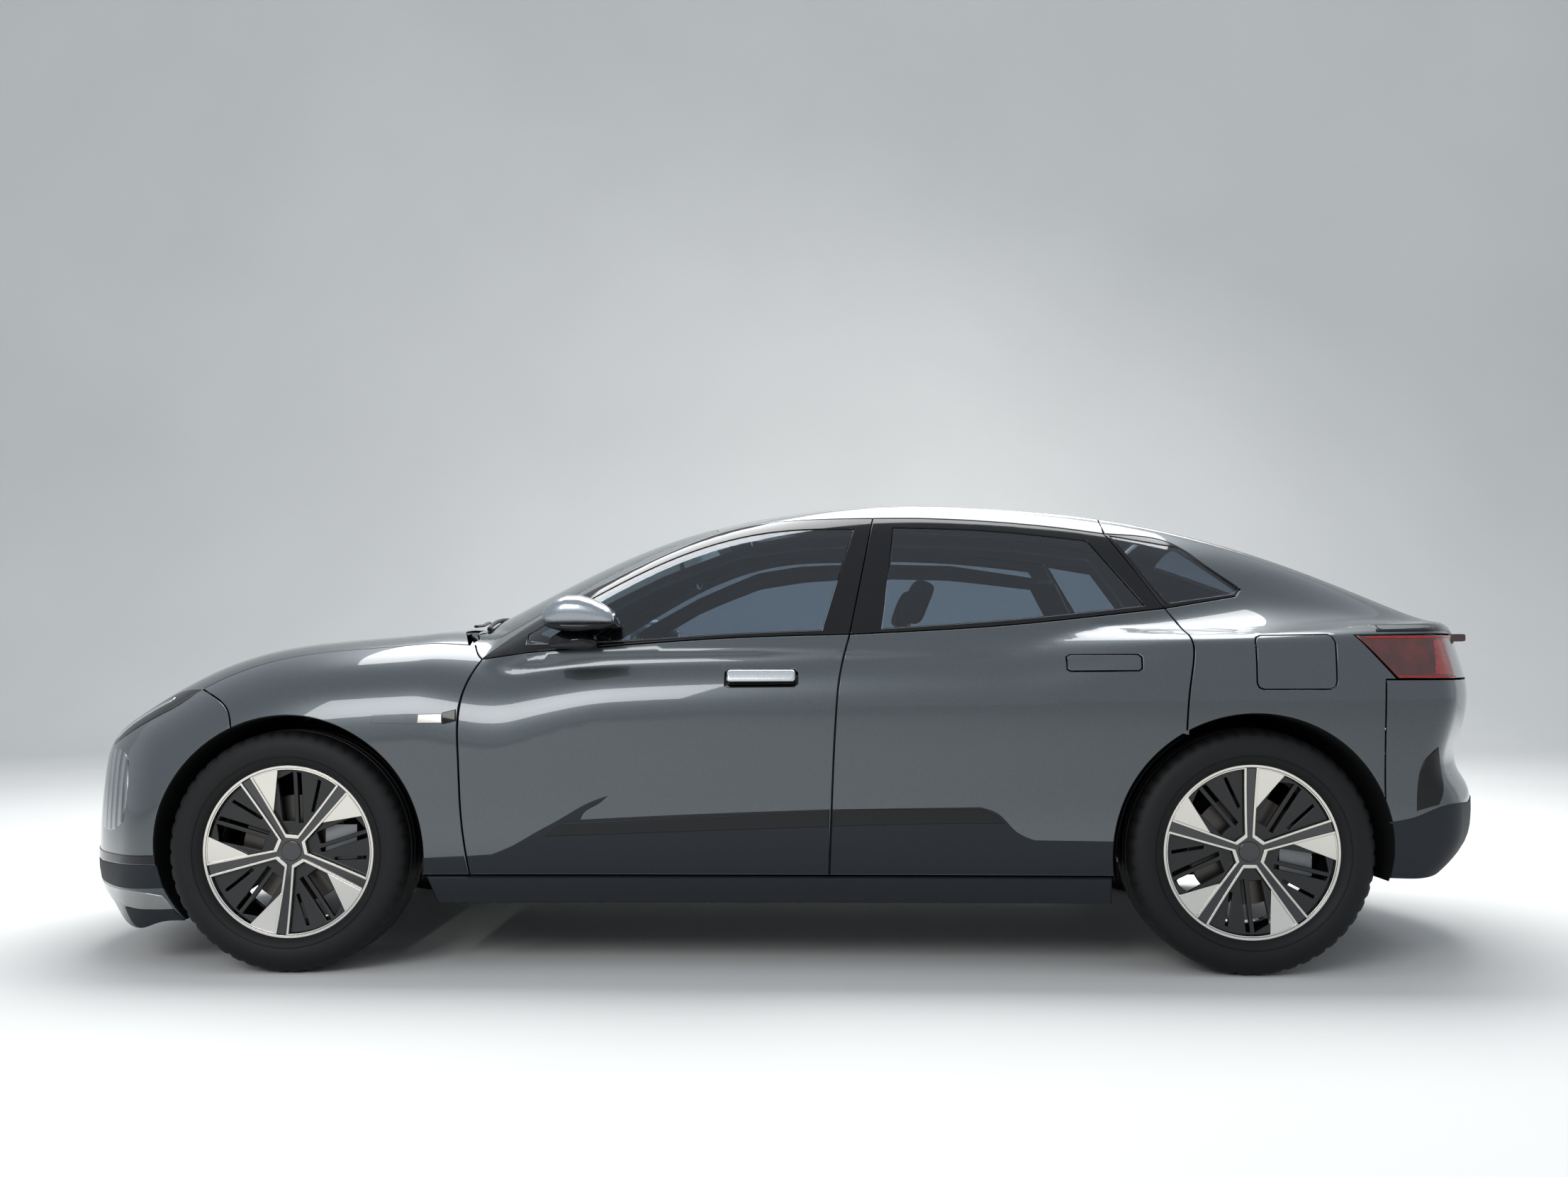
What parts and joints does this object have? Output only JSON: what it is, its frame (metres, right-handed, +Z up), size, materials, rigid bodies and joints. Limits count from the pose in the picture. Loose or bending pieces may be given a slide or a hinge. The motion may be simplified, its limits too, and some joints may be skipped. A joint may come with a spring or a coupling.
{
  "type": "electric coupe suv",
  "caption": "Four-door electric crossover with a sloping coupe roof; doors, bonnet and tailgate open, the front wheels steer and all wheels roll.",
  "frame": {"origin": "on the ground, at the middle of the car's length and width", "axes": "+X to the rear, +Y to the car's right side, +Z up"},
  "size_m": [4.8523, 2.138, 1.5357],
  "materials": {
    "body_paint": "dark grey metallic paint under clear lacquer",
    "tinted_glass": "dark tinted safety glass",
    "trim_plastic": "grained black moulded plastic",
    "lamp_lens": "clear polycarbonate lens over a black housing",
    "tail_lamp_red": "dark red polycarbonate lens",
    "mirror_cap": "silver grey painted cap over a black base",
    "seat_leather": "black leather with stitched seams",
    "underbody_steel": "black coated pressed steel",
    "cast_aluminium": "plain cast aluminium",
    "wheel_alloy": "black gloss paint with machined spoke edges",
    "tyre_rubber": "black rubber, moulded side wall",
    "brake_iron": "turned friction faces, grey hub"
  },
  "bodies": {
    "root": {"battery_pack": "cast_aluminium", "centre_console": "trim_plastic", "cowl": "trim_plastic", "dashboard": "trim_plastic", "drive_units": "cast_aluminium", "floor_pan": "underbody_steel", "front_bumper": "body_paint", "front_fender_left": "body_paint", "front_fender_right": "body_paint", "front_seats": "seat_leather", "front_structure": "underbody_steel", "headlamps": "lamp_lens", "quarter_glass": "tinted_glass", "rear_bumper": "body_paint", "rear_hub_carriers": "cast_aluminium", "rear_quarter_left": "body_paint", "rear_quarter_right": "body_paint", "rear_seat": "seat_leather", "rear_structure": "underbody_steel", "roof_panel": "body_paint", "side_frame_left": "body_paint", "side_frame_right": "body_paint", "steering_column": "trim_plastic", "suspension_arms": "underbody_steel", "tail_lamps": "tail_lamp_red", "wheel_liners": "trim_plastic", "windscreen": "tinted_glass"},
    "door_front_left": {"door_front_left": "body_paint", "glass_front_left": "tinted_glass", "door_mirror_left": "mirror_cap"},
    "door_rear_left": {"door_rear_left": "body_paint", "glass_rear_left": "tinted_glass"},
    "knuckle_left": {"front_knuckle_left": "cast_aluminium"},
    "wheel_front_left": {"wheel_front_left": "wheel_alloy", "tyre_front_left": "tyre_rubber", "brake_disc_front_left": "brake_iron"},
    "wheel_rear_left": {"wheel_rear_left": "wheel_alloy", "tyre_rear_left": "tyre_rubber", "brake_disc_rear_left": "brake_iron"},
    "door_front_right": {"door_front_right": "body_paint", "glass_front_right": "tinted_glass", "door_mirror_right": "mirror_cap"},
    "door_rear_right": {"door_rear_right": "body_paint", "glass_rear_right": "tinted_glass"},
    "knuckle_right": {"front_knuckle_right": "cast_aluminium"},
    "wheel_front_right": {"wheel_front_right": "wheel_alloy", "tyre_front_right": "tyre_rubber", "brake_disc_front_right": "brake_iron"},
    "wheel_rear_right": {"wheel_rear_right": "wheel_alloy", "tyre_rear_right": "tyre_rubber", "brake_disc_rear_right": "brake_iron"},
    "bonnet": {"bonnet": "body_paint"},
    "tailgate": {"tailgate": "body_paint", "tail_light_bar": "tail_lamp_red"},
    "steering_wheel": {"steering_wheel": "trim_plastic"}
  },
  "joints": [
    {"name": "door_front_left_hinge", "type": "hinge", "parent": "root", "child": "door_front_left", "pos_m": [-0.935, -0.945, 0.6], "axis": [0, 0, -1], "range_deg": [0, 65]},
    {"name": "door_rear_left_hinge", "type": "hinge", "parent": "root", "child": "door_rear_left", "pos_m": [0.249, -0.945, 0.6], "axis": [0, 0, -1], "range_deg": [0, 70]},
    {"name": "door_front_right_hinge", "type": "hinge", "parent": "root", "child": "door_front_right", "pos_m": [-0.935, 0.945, 0.6], "axis": [0, 0, 1], "range_deg": [0, 65]},
    {"name": "door_rear_right_hinge", "type": "hinge", "parent": "root", "child": "door_rear_right", "pos_m": [0.249, 0.945, 0.6], "axis": [0, 0, 1], "range_deg": [0, 70]},
    {"name": "steer_left", "type": "hinge", "parent": "root", "child": "knuckle_left", "pos_m": [-1.54, -0.806, 0.3815], "axis": [0, 0, 1], "range_deg": [-32, 32]},
    {"name": "steer_right", "type": "hinge", "parent": "root", "child": "knuckle_right", "pos_m": [-1.54, 0.806, 0.3815], "axis": [0, 0, 1], "range_deg": [-32, 32]},
    {"name": "steering_wheel_turn", "type": "hinge", "parent": "root", "child": "steering_wheel", "pos_m": [-0.452, -0.372, 0.905], "axis": [0.9135, 0, 0.4067], "range_deg": [-416, 416]},
    {"name": "bonnet_hinge", "type": "hinge", "parent": "root", "child": "bonnet", "pos_m": [-0.905, 0, 1.008], "axis": [0, 1, 0], "range_deg": [0, 42]},
    {"name": "tailgate_hinge", "type": "hinge", "parent": "root", "child": "tailgate", "pos_m": [1.392, 0, 1.395], "axis": [0, -1, 0], "range_deg": [0, 75]},
    {"name": "wheel_front_left_spin", "type": "hinge", "parent": "knuckle_left", "child": "wheel_front_left", "pos_m": [-1.54, -0.8515, 0.3815], "axis": [0, 1, 0], "continuous": true},
    {"name": "wheel_front_right_spin", "type": "hinge", "parent": "knuckle_right", "child": "wheel_front_right", "pos_m": [-1.54, 0.8515, 0.3815], "axis": [0, 1, 0], "continuous": true},
    {"name": "wheel_rear_left_spin", "type": "hinge", "parent": "root", "child": "wheel_rear_left", "pos_m": [1.459, -0.8515, 0.3815], "axis": [0, 1, 0], "continuous": true},
    {"name": "wheel_rear_right_spin", "type": "hinge", "parent": "root", "child": "wheel_rear_right", "pos_m": [1.459, 0.8515, 0.3815], "axis": [0, 1, 0], "continuous": true}
  ],
  "couplings": [
    {"joint": "steer_right", "follows": "steer_left", "ratio": 1},
    {"joint": "steering_wheel_turn", "follows": "steer_left", "ratio": 13}
  ]
}
